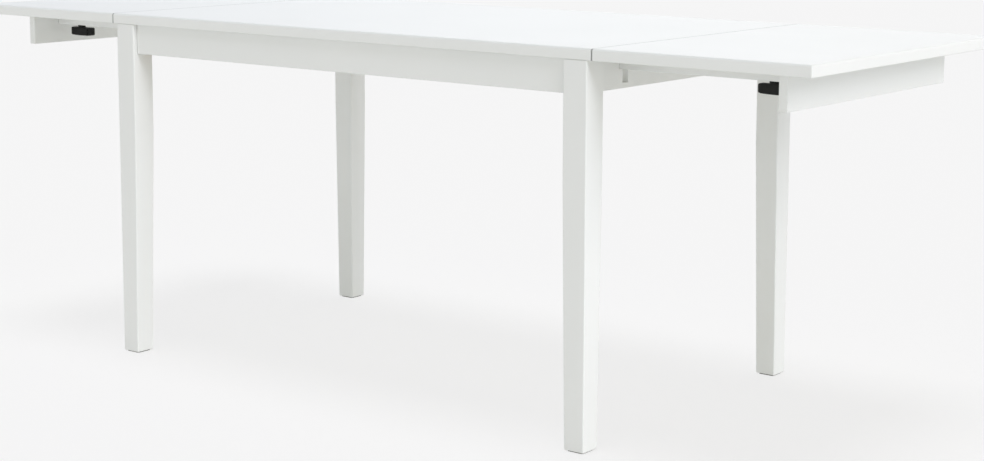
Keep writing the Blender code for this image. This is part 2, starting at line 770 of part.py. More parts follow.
def make_knob_stem(name, side, depth):
    """The steel stem that runs from the knob up through the bearer to the leaf's underside."""
    pivot = Vector((side * KNOB_PIVOT_X, depth * KNOB_PIVOT_Y, 0.0))
    foot = KNOB_BOTTOM_Z + STEM_SOCKET_FLOOR + GAP
    top = BEARER_TOP_Z - GAP
    collar = top - STEM_COLLAR_HEIGHT
    profile = (
        (foot, STEM_RADIUS),
        (collar, STEM_RADIUS),
        (collar, STEM_COLLAR_RADIUS),
        (top, STEM_COLLAR_RADIUS),
    )
    rings = [(pivot + Vector((0.0, 0.0, z)), radius) for z, radius in profile]

    def body(bm):
        add_turned(bm, rings, Vector((0.0, 0.0, 1.0)), ROUND_STEPS)

    turned_piece(name, steel, body, origin=pivot)


# ---- assembly


def build():
    make_main_top()
    make_centre_rail()
    for depth_name, depth in DEPTHS:
        make_side_apron(depth_name + "_apron", depth)
    for side_name, side in SIDES:
        make_end_apron(side_name + "_end_apron", side)
        make_leaf(side_name, side)
        make_end_board(side_name + "_end_board", side)
        make_tie_bar(side_name + "_tie_bar", side)
        for depth_name, depth in DEPTHS:
            place = f"{side_name}_{depth_name}"
            make_leg(place + "_leg", side, depth)
            make_glide(place + "_foot_glide", side, depth)
            make_corner_block(place + "_corner_block", side, depth)
            make_hanger_bolt(place + "_hanger_bolt", side, depth)
            make_flange_nut(place + "_flange_nut", side, depth)
            make_top_bracket(place + "_top_bracket", side, depth)
            make_guide(place + "_guide", side, depth)
            make_bearer(place + "_bearer", side, depth)
            make_knob(place + "_knob", side, depth)
            make_knob_stem(place + "_knob_stem", side, depth)
            make_leaf_socket(place + "_leaf_socket", side, depth)


build()
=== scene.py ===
"""Extending dining table, fully pulled out: its finishes, its hardware and a pale studio.

Origin on the floor under the middle of the top, +X along the length, -Y the front, +Z up,
metres. The frame's own nodes keep their shape and get their finishes here; the hardware is
modelled again in full detail.
"""

import json
from math import cos, pi, radians, sin

import bmesh
import bpy
from mathutils import Matrix, Vector


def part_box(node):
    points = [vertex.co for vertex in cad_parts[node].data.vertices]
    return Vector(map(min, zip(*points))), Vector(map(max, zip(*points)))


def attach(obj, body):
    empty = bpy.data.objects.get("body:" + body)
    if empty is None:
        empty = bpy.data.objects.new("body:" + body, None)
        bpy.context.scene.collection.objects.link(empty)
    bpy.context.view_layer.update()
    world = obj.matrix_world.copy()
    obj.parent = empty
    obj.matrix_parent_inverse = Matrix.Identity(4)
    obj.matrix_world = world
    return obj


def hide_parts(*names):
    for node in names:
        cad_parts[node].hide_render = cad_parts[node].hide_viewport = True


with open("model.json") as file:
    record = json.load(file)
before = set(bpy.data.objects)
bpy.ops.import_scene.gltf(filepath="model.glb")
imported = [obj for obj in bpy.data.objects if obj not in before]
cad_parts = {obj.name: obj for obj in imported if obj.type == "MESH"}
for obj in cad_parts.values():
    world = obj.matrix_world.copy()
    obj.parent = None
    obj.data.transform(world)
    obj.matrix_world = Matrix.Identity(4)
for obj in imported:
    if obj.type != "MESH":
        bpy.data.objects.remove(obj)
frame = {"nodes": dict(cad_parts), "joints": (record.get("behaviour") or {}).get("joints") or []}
bpy.context.view_layer.update()

NODES = frame["nodes"]
SIDES = (("left", -1), ("right", 1))
DEPTHS = (("front", -1), ("back", 1))
CORNERS = [(f"{side}_{depth}", side, sx, dy) for side, sx in SIDES for depth, dy in DEPTHS]
UP = Vector((0.0, 0.0, 1.0))

# Camera: place, turn in degrees, lens and sensor in millimetres, shift in sensor widths.
CAMERA_PLACE = (2.5935, -3.1391, 1.0634)
CAMERA_YAW, CAMERA_PITCH, CAMERA_ROLL = 126.553, -8.028, 0.408
CAMERA_LENS, CAMERA_SENSOR = 69.889024, 36.0
CAMERA_SHIFT_X, CAMERA_SHIFT_Y = -0.05691057, -0.091971545
CAMERA_REACH = 200.0

# Studio: the parts of the dome as (towards, sharpness, colour), and the suns as (azimuth, height,
# spread, colour) in degrees, where azimuth 0 shines from the front and 90 from the right.
BACKGROUND_TONE = 0.9216
DOME_PARTS = (
    ((0.0, 0.0, 1.0), 0.0, (0.13, 0.08, 0.03)),
    ((0.0, 0.0, 1.0), 3.0, (0.25, 0.31, 0.42)),
    ((1.0, -0.45, 0.6), 5.0, (0.20, 0.18, 0.05)),
    ((1.0, 0.0, 0.08), 12.0, (1.14, 1.40, 1.85)),
    ((0.0, -1.0, 0.1), 4.0, (0.86, 0.90, 0.82)),
    ((0.0, -1.0, 0.05), 14.0, (0.20, 0.35, 0.70)),
    ((-1.0, 0.0, 0.2), 4.0, (0.53, 0.67, 0.86)),
    ((0.0, 1.0, 0.2), 3.0, (0.69, 0.72, 0.54)),
    ((0.0, 1.0, 0.08), 12.0, (0.65, 0.66, 0.97)),
    ((-0.6, 0.8, 0.15), 14.0, (0.84, 0.90, 1.05)),
)
SUNS = (
    (85.0, 30.0, 30.0, (0.98, 0.98, 1.05)),
    (65.0, 50.0, 30.0, (0.67, 0.68, 0.73)),
)
FLOOR_SUN = (0.0, 88.0, 26.0, (1.0, 1.0, 1.0))

# Floor: its paper as it lights the table, and as it is seen, each with an albedo and a glow.
FLOOR_ALBEDO, FLOOR_GLOW = 0.80, (0.115, 0.115, 0.10)
FLOOR_SEEN_ALBEDO, FLOOR_SEEN_GLOW = 0.26, (0.697, 0.695, 0.699)
FLOOR_HALF_SIZE = 60.0

# Finishes: colour stops as (noise value, colour).
LACQUER_STOPS = ((0.30, (0.858, 0.866, 0.852)), (0.70, (0.876, 0.882, 0.868)))
PINE_STOPS = (
    (0.0, (0.70, 0.53, 0.33)),
    (0.55, (0.66, 0.48, 0.28)),
    (0.85, (0.55, 0.36, 0.18)),
    (1.0, (0.48, 0.29, 0.13)),
)
PLASTIC_STOPS = ((0.30, (0.007, 0.0072, 0.0068)), (0.70, (0.010, 0.0102, 0.0095)))
ZINC_STOPS = (
    (0.30, (0.56, 0.57, 0.59)),
    (0.55, (0.63, 0.635, 0.64)),
    (0.75, (0.67, 0.65, 0.60)),
)
BRASS_STOPS = ((0.30, (0.66, 0.46, 0.19)), (0.70, (0.78, 0.59, 0.29)))

# Finishes: roughness of the smoothest and the roughest patches.
LACQUER_ROUGHNESS = (0.30, 0.40)
PINE_ROUGHNESS = (0.52, 0.68)
PLASTIC_ROUGHNESS = (0.40, 0.52)
ZINC_ROUGHNESS = (0.24, 0.40)
BRASS_ROUGHNESS = (0.22, 0.36)

# Finishes: height of the relief.
LACQUER_GRAIN_RELIEF = 0.000018
LACQUER_PEEL_RELIEF = 0.000010
PINE_PORE_RELIEF = 0.00004
PINE_BAND_RELIEF = 0.00003
PLASTIC_RELIEF = 0.00003
ZINC_RELIEF = 0.000012
BRASS_RELIEF = 0.00001

# Finishes: the span that most of a noise's values lie in, how far one seed moves a pattern, and
# the width of one growth ring in the noise's values.
NOISE_LOW, NOISE_HIGH = 0.25, 0.75
LACQUER_SHIFT = (1.7, 2.3, 0.9)
PINE_SHIFT = (0.31, 0.17, 0.23)
PINE_RING = 0.085

# The lacquer's painted shade along a seam, darker from the edge inwards: the joint's shadow.
SEAM_SHADE_TONE = 0.5
SEAM_SHADE_WIDTH = 0.0016

# Shading of the frame's own nodes: corners closer than this are joined, edges steeper stay sharp.
CORNER_GAP = 0.00001
SHARP_EDGE_ANGLE = 34.0
FACE_AREA_WEIGHT = 100

# Hardware pieces: smooth below this angle in degrees.
SMOOTH_ANGLE = 32.0
NUT_SMOOTH_ANGLE = 24.0
LEVER_SMOOTH_ANGLE = 38.0

# Turned bodies: points to a ring, and the rings that aren't plain round.
RING_POINTS = 36
KNURL_TEETH, KNURL_DEPTH = 40, 0.02
CROSS_WAIST, CROSS_SHARPNESS = 0.36, 3
THREAD_PITCH, THREAD_DEPTH = 0.00125, 0.0006
THREAD_RINGS_PER_TURN = 6

# Lever stem.
STEM_RADIUS = 0.003
STEM_SOCKET_RADIUS, STEM_SOCKET_DEPTH = 0.0019, 0.0026
STEM_COLLAR_THICKNESS, STEM_COLLAR_EDGE = 0.0016, 0.0004
STEM_COLLAR_TOP_EDGE = 0.0005
STEM_THREAD_START, STEM_PLAIN_LENGTH = 0.0008, 0.006
STEM_TIP_TAPER = 0.0009

# Brass insert in a leaf.
INSERT_BORE, INSERT_CHAMFER, INSERT_FLOOR = 0.0038, 0.0008, 0.0015
INSERT_RIM, INSERT_RIM_EDGE, INSERT_GROOVE = 0.0012, 0.0003, 0.0004
INSERT_TAPER, INSERT_END_TAPER = 0.0006, 0.0010
INSERT_RING_POINTS = 80

# Hanger bolt, as shares of its radius and length, then as lengths.
BOLT_POINT_SHARE, BOLT_SHANK_SHARE = 0.3, 0.94
BOLT_SHANK_LENGTH_SHARE = 0.55
BOLT_POINT, BOLT_RUNOUT, BOLT_END, BOLT_END_TAPER = 0.004, 0.0006, 0.0008, 0.0012
BOLT_RING_POINTS = 24

# Flange nut.
HANGER_END = 0.014
NUT_SETBACK = -0.0003
NUT_BORE_GAP, NUT_HALF_WIDTH, NUT_THICKNESS = 0.0002, 0.0074, 0.0074
NUT_FLANGE, NUT_FLANGE_EDGE, NUT_FLANGE_INSET = 0.0010, 0.0004, 0.0001
NUT_NECK, NUT_NECK_SLOPE = 0.0016, 0.0002
NUT_SEAT_CHAMFER, NUT_TOP_CHAMFER = 0.0005, 0.0006
NUT_CROWN_START, NUT_CROWN_MIDDLE = 0.0011, 0.0005
NUT_CROWN_MIDDLE_SHARE, NUT_CROWN_TOP_SHARE = 0.93, 0.82
NUT_RING_POINTS = 48

# Top bracket: the sheet, the radius outside its bend, and a hole's place and profile. The edges
# at its ends are told from the others within the two tolerances.
BRACKET_SHEET = 0.002
BRACKET_BEND = 0.0035
BRACKET_HOLE = 0.0174
BRACKET_END_ROUNDING, BRACKET_END_STEPS = 0.004, 5
BRACKET_HOLE_PROFILE = ((-0.003, 0.0042), (0.0009, 0.0024), (0.004, 0.0024))
BRACKET_HOLE_POINTS = 24
BEND_ANGLES = (pi / 8, pi / 4, 3 * pi / 8)
SHEET_TOLERANCE, END_TOLERANCE = 0.0002, 0.0005

# Wood screws: the head and shank as a turned profile, the point, and each use's length.
SCREW_HEAD = (
    (-0.0004, 0.0010, "cross"),
    (-0.0021, 0.0017, "cross"),
    (-0.0022, 0.0022),
    (-0.0020, 0.0030),
    (-0.0013, 0.0037),
    (-0.0003, 0.0039),
    (0.0, 0.0037),
)
SCREW_SHANK_RADIUS, SCREW_POINT_RADIUS, SCREW_POINT = 0.0019, 0.0003, 0.0035
SCREW_RING_POINTS = 32
BRACKET_SCREW_LENGTH, GUIDE_SCREW_LENGTH = 0.014, 0.048
GUIDE_SCREW_INSET_X, GUIDE_SCREW_INSET_Y, GUIDE_SCREW_GAP = 0.015, 0.007, 0.0001

# Locking lever: the bar, its blunt tips and its belly.
LEVER_HEIGHT = 0.019
LEVER_CORNER, LEVER_CORNER_STEPS = 0.0014, 4
LEVER_STEPS = 28
LEVER_TIP_HALF_WIDTH, LEVER_SWELL = 0.0030, 0.0049
LEVER_BLUNT_LENGTH, LEVER_BEND_LENGTH = 0.011, 0.006
LEVER_BELLY = 0.0014
LEVER_TIP_RISE, LEVER_TIP_FALL = 0.0022, 0.0026

# Locking lever: the rib's place and its sections as (along, proud).
LEVER_RIB = 0.0255
LEVER_RIB_CLEAR = 0.0016
LEVER_RIB_SECTIONS = ((-9e-4, 0), (-6e-4, 5e-4), (6e-4, 5e-4), (9e-4, 0))

# Locking lever: the neck, its radii from foot to top, and how oval it is.
NECK_OVERLAP, NECK_EDGE = 0.004, 0.0006
NECK_RADII = (0.0104, 0.0100, 0.0094)
NECK_OVAL = 0.72
NECK_RING_POINTS = 40

# Locking lever: the screw's recess, its cap, the grooves below and the grip's pockets.
RECESS_DEPTH, RECESS_PROFILE = 0.0012, ((0.0, 0.0050), (0.004, 0.0054))
CAP_DEPTH = 0.0011
CAP_PROFILE = (
    (0.0006, 0.0012, "cross"),
    (0.0016, 0.0021, "cross"),
    (0.0017, 0.0028),
    (0.0014, 0.0040),
    (0.0008, 0.0046),
    (0.0, 0.0046),
)
CAP_RING_POINTS = 32
GROOVES, GROOVE_PITCH, GROOVE_RADIUS = 4, 0.0026, 0.0009
GROOVE_HALF_LENGTH, GROOVE_FROM_RIB, GROOVE_SINK = 0.0052, 0.0042, 0.0001
GROOVE_RING_POINTS = 12
POCKET_SHELVES, POCKET_HEIGHT = (0.0028, 0.0106), 0.0056
POCKET_START, POCKET_END = 0.0025, 0.0098
POCKET_FLOOR, POCKET_MOUTH = 0.0065, 0.0100
BORE_GAP, BORE_SPARE = 0.0003, 0.01
BORE_RING_POINTS = 32


# ---- camera and studio


def grey(tone):
    """An opaque grey."""
    return (tone, tone, tone, 1.0)


def make_camera():
    """A long lens from the front right, a little above the table."""
    yaw, pitch, roll = (radians(a) for a in (CAMERA_YAW, CAMERA_PITCH, CAMERA_ROLL))
    forward = Vector((cos(pitch) * cos(yaw), cos(pitch) * sin(yaw), sin(pitch)))
    level = forward.cross(UP).normalized()
    upright = level.cross(forward)
    right = level * cos(roll) + upright * sin(roll)
    up = upright * cos(roll) - level * sin(roll)
    data = bpy.data.cameras.new("camera")
    data.sensor_width = CAMERA_SENSOR
    data.sensor_fit = "HORIZONTAL"
    data.lens = CAMERA_LENS
    data.shift_x, data.shift_y = CAMERA_SHIFT_X, CAMERA_SHIFT_Y
    data.clip_end = CAMERA_REACH
    camera = bpy.data.objects.new("camera", data)
    turn = Matrix((right, up, -forward)).transposed().to_4x4()
    camera.matrix_world = Matrix.Translation(CAMERA_PLACE) @ turn
    bpy.context.scene.collection.objects.link(camera)
    bpy.context.scene.camera = camera


def make_world():
    """A dome that is brighter towards some directions, and one flat tone where it is seen."""
    world = bpy.data.worlds.new("studio")
    bpy.context.scene.world = world
    world.use_nodes = True
    nodes, links = world.node_tree.nodes, world.node_tree.links
    nodes.clear()
    direction = nodes.new("ShaderNodeTexCoord").outputs["Generated"]
    total = None
    for towards, sharpness, color in DOME_PARTS:
        aim = nodes.new("ShaderNodeVectorMath")
        aim.operation = "DOT_PRODUCT"
        aim.inputs[1].default_value = Vector(towards).normalized()
        links.new(direction, aim.inputs[0])
        front = nodes.new("ShaderNodeMath")
        front.operation = "MAXIMUM"
        front.inputs[1].default_value = 0.0
        links.new(aim.outputs["Value"], front.inputs[0])
        lobe = nodes.new("ShaderNodeMath")
        lobe.operation = "POWER"
        lobe.inputs[1].default_value = sharpness
        links.new(front.outputs[0], lobe.inputs[0])
        tinted = nodes.new("ShaderNodeVectorMath")
        tinted.operation = "SCALE"
        tinted.inputs[0].default_value = color
        links.new(lobe.outputs[0], tinted.inputs["Scale"])
        if total is None:
            total = tinted.outputs[0]
        else:
            add = nodes.new("ShaderNodeVectorMath")
            links.new(total, add.inputs[0])
            links.new(tinted.outputs[0], add.inputs[1])
            total = add.outputs[0]
    lit = nodes.new("ShaderNodeBackground")
    links.new(total, lit.inputs["Color"])
    seen = nodes.new("ShaderNodeBackground")
    seen.inputs["Color"].default_value = grey(BACKGROUND_TONE)
    path = nodes.new("ShaderNodeLightPath")
    mix = nodes.new("ShaderNodeMixShader")
    links.new(path.outputs["Is Camera Ray"], mix.inputs["Fac"])
    links.new(lit.outputs[0], mix.inputs[1])
    links.new(seen.outputs[0], mix.inputs[2])
    output = nodes.new("ShaderNodeOutputWorld")
    links.new(mix.outputs[0], output.inputs["Surface"])


def make_suns(floor):
    """Soft distant lights. The slanting ones pass the floor by: its shadow stays below the table."""
    for place, (azimuth, height, spread, color) in enumerate((*SUNS, FLOOR_SUN)):
        peak = max(color)
        data = bpy.data.lights.new(f"sun_{place}", "SUN")
        data.energy = peak
        data.color = Vector(color) / peak
        data.angle = radians(spread)
        sun = bpy.data.objects.new(f"sun_{place}", data)
        a, e = radians(azimuth), radians(height)
        towards = Vector((sin(a) * cos(e), -cos(a) * cos(e), sin(e)))
        sun.rotation_mode = "QUATERNION"
        sun.rotation_quaternion = towards.to_track_quat("Z", "Y")
        sun.visible_glossy = False
        bpy.context.scene.collection.objects.link(sun)
        lit = bpy.data.collections.new(f"lit_by_sun_{place}")
        lit.objects.link(floor)
        for_floor = place == len(SUNS)
        lit.collection_objects[0].light_linking.link_state = "INCLUDE" if for_floor else "EXCLUDE"
        sun.light_linking.receiver_collection = lit


def make_floor():
    """Pale paper. The camera sees its shading at about a third of its strength, as if retouched."""
    bm = bmesh.new()
    bmesh.ops.create_grid(bm, x_segments=1, y_segments=1, size=FLOOR_HALF_SIZE)
    mesh = bpy.data.meshes.new("floor")
    bm.to_mesh(mesh)
    bm.free()
    floor = bpy.data.objects.new("floor", mesh)
    bpy.context.scene.collection.objects.link(floor)
    material = bpy.data.materials.new("floor_paper")
    material.use_nodes = True
    nodes, links = material.node_tree.nodes, material.node_tree.links
    path = nodes.new("ShaderNodeLightPath")
    mix = nodes.new("ShaderNodeMixShader")
    links.new(path.outputs["Is Camera Ray"], mix.inputs["Fac"])
    papers = ((FLOOR_ALBEDO, FLOOR_GLOW), (FLOOR_SEEN_ALBEDO, FLOOR_SEEN_GLOW))
    for place, (albedo, glow) in enumerate(papers):
        shader = nodes.new("ShaderNodeBsdfPrincipled")
        shader.inputs["Base Color"].default_value = grey(albedo)
        shader.inputs["Roughness"].default_value = 1.0
        shader.inputs["Specular IOR Level"].default_value = 0.0
        shader.inputs["Emission Color"].default_value = (*glow, 1.0)
        shader.inputs["Emission Strength"].default_value = 1.0
        links.new(shader.outputs[0], mix.inputs[1 + place])
    links.new(mix.outputs[0], nodes["Material Output"].inputs["Surface"])
    mesh.materials.append(material)
    return floor


# ---- finishes


class Finish:
    """One procedural material: short names for the nodes that every finish here uses."""

    def __init__(self, name):
        self.material = bpy.data.materials.new(name)
        self.material.use_nodes = True
        tree = self.material.node_tree
        self.nodes, self.links = tree.nodes, tree.links
        self.shader = self.nodes["Principled BSDF"]
        self.place = self.nodes.new("ShaderNodeTexCoord").outputs["Object"]

    def set(self, **values):
        for name, value in values.items():
            self.shader.inputs[name.replace("_", " ")].default_value = value

    def feed(self, socket, value):
        self.links.new(value, self.shader.inputs[socket])

    def moved(self, shift, scale=(1.0, 1.0, 1.0)):
        """The object's coordinates, scaled and then moved."""
        node = self.nodes.new("ShaderNodeMapping")
        node.inputs["Scale"].default_value = scale
        node.inputs["Location"].default_value = shift
        self.links.new(self.place, node.inputs["Vector"])
        return node.outputs[0]

    def noise(self, vector, scale, detail=2.0, roughness=0.5):
        node = self.nodes.new("ShaderNodeTexNoise")
        node.inputs["Scale"].default_value = scale
        node.inputs["Detail"].default_value = detail
        node.inputs["Roughness"].default_value = roughness
        self.links.new(vector, node.inputs["Vector"])
        return node.outputs["Fac"]

    def between(self, value, low, high, start=NOISE_LOW, end=NOISE_HIGH):
        """Runs from low to high while the value runs from start to end."""
        node = self.nodes.new("ShaderNodeMapRange")
        node.inputs["From Min"].default_value = start
        node.inputs["From Max"].default_value = end
        node.inputs["To Min"].default_value = low
        node.inputs["To Max"].default_value = high
        self.links.new(value, node.inputs["Value"])
        return node.outputs[0]

    def ramp(self, value, stops):
        node = self.nodes.new("ShaderNodeValToRGB")
        elements = node.color_ramp.elements
        while len(elements) < len(stops):
            elements.new(0.5)
        for element, (place, color) in zip(elements, stops):
            element.position = place
            element.color = (*color, 1.0)
        self.links.new(value, node.inputs["Fac"])
        return node.outputs["Color"]

    def bump(self, value, height, under=None):
        node = self.nodes.new("ShaderNodeBump")
        node.inputs["Strength"].default_value = 1.0
        node.inputs["Distance"].default_value = height
        self.links.new(value, node.inputs["Height"])
        if under is not None:
            self.links.new(under, node.inputs["Normal"])
        return node.outputs["Normal"]

    def painted_seam_shade(self, color, seam_x):
        """Paints shade into the colour, softly darker down to a seam at one X, as the joint's
        shadow.
        """
        offset = self.nodes.new("ShaderNodeSeparateXYZ")
        self.links.new(self.moved((-seam_x, 0.0, 0.0)), offset.inputs[0])
        distance = self.nodes.new("ShaderNodeMath")
        distance.operation = "ABSOLUTE"
        self.links.new(offset.outputs["X"], distance.inputs[0])
        shade = self.nodes.new("ShaderNodeVectorMath")
        shade.operation = "SCALE"
        self.links.new(color, shade.inputs[0])
        span = (SEAM_SHADE_WIDTH / 2, SEAM_SHADE_WIDTH)
        tone = self.between(distance.outputs[0], SEAM_SHADE_TONE, 1.0, *span)
        self.links.new(tone, shade.inputs["Scale"])
        return shade.outputs[0]


def scale_along(axis, along, across):
    """One scale along a board's axis and another across it."""
    return tuple(along if letter == axis else across for letter in "XYZ")


def make_lacquer(axis, seed, shaded_seams=()):
    """Sprayed satin lacquer: faint orange peel, the wood's grain just telling through it."""
    made = Finish(f"white_lacquer_{axis.lower()}_{seed}")
    shift = tuple(seed * step for step in LACQUER_SHIFT)
    fibres = made.moved(shift, scale_along(axis, along=5.0, across=240.0))
    grain = made.noise(fibres, scale=1.0, detail=3.0, roughness=0.6)
    cloud = made.noise(made.moved(shift), scale=2.6, detail=3.0)
    peel = made.noise(made.moved(shift), scale=420.0, detail=1.0)
    white = made.ramp(cloud, LACQUER_STOPS)
    # Painted shade: darker towards each seam, standing in for the shadow in the joint.
    for seam_x in shaded_seams:
        white = made.painted_seam_shade(white, seam_x)
    made.feed("Base Color", white)
    made.feed("Roughness", made.between(grain, *LACQUER_ROUGHNESS))
    surface = made.bump(grain, LACQUER_GRAIN_RELIEF)
    made.feed("Normal", made.bump(peel, LACQUER_PEEL_RELIEF, surface))
    made.set(Coat_Weight=0.12, Coat_Roughness=0.22)
    return made.material


def make_pine(axis, seed):
    """Planed pine, unfinished: late and early wood in bands, fine pores, a soft sheen."""
    made = Finish(f"bare_wood_{axis.lower()}_{seed}")
    shift = tuple(seed * step for step in PINE_SHIFT)
    boards = made.moved(shift, scale_along(axis, along=3.0, across=46.0))
    flow = made.noise(boards, scale=1.0, detail=2.0, roughness=0.5)
    fibres = made.moved(shift, scale_along(axis, along=24.0, across=900.0))
    pores = made.noise(fibres, scale=1.0, detail=2.0, roughness=0.6)
    rings = made.nodes.new("ShaderNodeMath")
    rings.operation = "PINGPONG"
    rings.inputs[1].default_value = PINE_RING
    made.links.new(flow, rings.inputs[0])
    bands = made.between(rings.outputs[0], 0.0, 1.0, start=0.0, end=PINE_RING)
    made.feed("Base Color", made.ramp(bands, PINE_STOPS))
    made.feed("Roughness", made.between(pores, *PINE_ROUGHNESS))
    made.feed("Normal", made.bump(pores, PINE_PORE_RELIEF, made.bump(bands, PINE_BAND_RELIEF)))
    return made.material


def make_plastic():
    """Moulded black plastic with a fine spark-eroded grain."""
    made = Finish("black_plastic")
    grain = made.noise(made.place, scale=1700.0, detail=1.0)
    cloud = made.noise(made.place, scale=60.0, detail=2.0)
    made.feed("Base Color", made.ramp(cloud, PLASTIC_STOPS))
    made.feed("Roughness", made.between(cloud, *PLASTIC_ROUGHNESS))
    made.feed("Normal", made.bump(grain, PLASTIC_RELIEF))
    made.set(Specular_IOR_Level=0.22)
    return made.material


def make_zinc():
    """Bright zinc plate: a cool grey with a slight mottled, faintly yellow bloom."""
    made = Finish("zinc_steel")
    bloom = made.noise(made.place, scale=150.0, detail=4.0, roughness=0.6)
    made.feed("Base Color", made.ramp(bloom, ZINC_STOPS))
    made.feed("Roughness", made.between(bloom, *ZINC_ROUGHNESS))
    made.feed("Normal", made.bump(bloom, ZINC_RELIEF))
    made.set(Metallic=1.0)
    return made.material


def make_brass():
    """Turned brass, slightly dulled."""
    made = Finish("brass")
    dull = made.noise(made.place, scale=240.0, detail=3.0)
    turned = made.noise(made.moved((0.0, 0.0, 0.0), (1.0, 1.0, 60.0)), scale=60.0, detail=1.0)
    made.feed("Base Color", made.ramp(dull, BRASS_STOPS))
    made.feed("Roughness", made.between(dull, *BRASS_ROUGHNESS))
    made.feed("Normal", made.bump(turned, BRASS_RELIEF))
    made.set(Metallic=1.0)
    return made.material


# ---- the frame's own nodes


def make_edge_shading():
    """Joins the split corners of an imported solid and shades it smooth across rounded edges."""
    group = bpy.data.node_groups.new("edge_shading", "GeometryNodeTree")
    for way in ("INPUT", "OUTPUT"):
        group.interface.new_socket("Geometry", in_out=way, socket_type="NodeSocketGeometry")
    nodes, links = group.nodes, group.links
    merge = nodes.new("GeometryNodeMergeByDistance")
    merge.inputs["Distance"].default_value = CORNER_GAP
    links.new(nodes.new("NodeGroupInput").outputs[0], merge.inputs["Geometry"])
    shape = merge.outputs["Geometry"]
    for attribute in ("custom_normal", "sharp_edge", "sharp_face"):
        remove = nodes.new("GeometryNodeRemoveAttribute")
        remove.inputs["Name"].default_value = attribute
        links.new(shape, remove.inputs["Geometry"])
        shape = remove.outputs["Geometry"]
    angle = nodes.new("GeometryNodeInputMeshEdgeAngle")
    steep = nodes.new("FunctionNodeCompare")
    steep.data_type = "FLOAT"
    steep.operation = "GREATER_THAN"
    steep.inputs[1].default_value = radians(SHARP_EDGE_ANGLE)
    links.new(angle.outputs["Unsigned Angle"], steep.inputs[0])
    sharpen = nodes.new("GeometryNodeSetShadeSmooth")
    sharpen.domain = "EDGE"
    sharpen.inputs["Shade Smooth"].default_value = False
    links.new(shape, sharpen.inputs["Geometry"])
    links.new(steep.outputs[0], sharpen.inputs["Selection"])
    links.new(sharpen.outputs["Geometry"], nodes.new("NodeGroupOutput").inputs[0])
    return group


def finish_node(name, material, shading):
    """Gives one of the frame's nodes its material and its smooth shading."""
    node = NODES[name]
    for slot in node.material_slots:
        slot.material = material
    modifier = node.modifiers.new("edge shading", "NODES")
    modifier.node_group = shading
    weighted = node.modifiers.new("weighted normals", "WEIGHTED_NORMAL")
    weighted.weight = FACE_AREA_WEIGHT
    weighted.keep_sharp = True


def dress_frame(shading, plastic):
    """Gives every node that stays its finish. Boards that share a seed share one material."""
    lacquer = {}

    def white(axis, seed, shaded_seams=()):
        if (axis, seed) not in lacquer:
            lacquer[axis, seed] = make_lacquer(axis, seed, shaded_seams)
        return lacquer[axis, seed]

    # The top's two ends and each leaf's inner end meet at a seam: the lacquer gets painted shade
    # there.
    top_ends = [corner.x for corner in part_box("main_top")]
    finish_node("main_top", white("X", 1, top_ends), shading)
    finish_node("front_apron", white("X", 2), shading)
    finish_node("back_apron", white("X", 2), shading)
    finish_node("centre_rail", make_pine("Y", 1), shading)
    for seed, (side, _) in enumerate(SIDES):
        # The leaf's inner end is the seam with the top, painted darker as shade.
        inner_x = min((corner.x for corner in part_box(side + "_leaf")), key=abs)
        finish_node(side + "_leaf", white("X", 3 + seed, [inner_x]), shading)
        finish_node(side + "_end_apron", white("Y", 1), shading)
        finish_node(side + "_end_board", white("Y", 2 + seed), shading)
        finish_node(side + "_tie_bar", white("Y", 1), shading)
    guides, blocks = make_pine("X", 2), make_pine("Z", 3)
    for corner, _, _, _ in CORNERS:
        finish_node(corner + "_leg", white("Z", 1), shading)
        finish_node(corner + "_bearer", white("X", 5), shading)
        finish_node(corner + "_guide", guides, shading)
        finish_node(corner + "_corner_block", blocks, shading)
        finish_node(corner + "_foot_glide", plastic, shading)


# ---- hardware


def radius_at(kind, radius, angle, distance):
    """The radius of a turned body's ring where it isn't plain round."""
    if kind == "hex":
        return radius * cos(pi / 6) / cos(angle % (pi / 3) - pi / 6)
    if kind == "knurl":
        return radius * (1.0 - KNURL_DEPTH * (1.0 - cos(KNURL_TEETH * angle)))
    if kind == "cross":
        arms = abs(cos(2 * angle)) ** CROSS_SHARPNESS
        return radius * (CROSS_WAIST + (1.0 - CROSS_WAIST) * arms)
    if kind == "thread":
        phase = (distance / THREAD_PITCH - angle / (2 * pi)) % 1.0
        return radius - THREAD_DEPTH * abs(2 * phase - 1)
    return radius


def finish_piece(name, bm, material, body, node=None, smooth_angle=SMOOTH_ANGLE):
    """Makes the piece, gives it its finish, hangs it on its body and hides the frame's node it
    replaces.
    """
    bmesh.ops.recalc_face_normals(bm, faces=bm.faces)
    mesh = bpy.data.meshes.new(name)
    bm.to_mesh(mesh)
    bm.free()
    mesh.materials.append(material)
    mesh.shade_smooth()
    mesh.set_sharp_from_angle(angle=radians(smooth_angle))
    piece = bpy.data.objects.new(name, mesh)
    bpy.context.scene.collection.objects.link(piece)
    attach(piece, body)
    if node:
        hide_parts(node)


def join_loops(bm, lower, upper):
    """One band of faces between two loops with the same number of points."""
    for step in range(len(lower)):
        after = (step + 1) % len(lower)
        bm.faces.new((lower[step], lower[after], upper[after], upper[step]))


def join_all_loops(bm, loops, closed=False):
    """A skin over the loops, with a face at each end, or closed to a ring of loops."""
    if not closed:
        bm.faces.new(loops[0])
        bm.faces.new(loops[-1])
    for lower, upper in zip(loops, loops[1:]):
        join_loops(bm, lower, upper)
    if closed:
        join_loops(bm, loops[-1], loops[0])


def add_turned(bm, base, axis, profile, points=RING_POINTS, closed=False):
    """A turned body. Each ring of the profile is (distance, radius) or (distance, radius, kind)."""
    across = axis.orthogonal().normalized()
    beside = axis.cross(across)
    loops = []
    for distance, radius, *kind in profile:
        loop = []
        for step in range(points):
            angle = 2 * pi * step / points
            outward = across * cos(angle) + beside * sin(angle)
            reach = radius_at(kind[0] if kind else "", radius, angle, distance)
            loop.append(bm.verts.new(base + axis * distance + outward * reach))
        loops.append(loop)
    join_all_loops(bm, loops, closed)


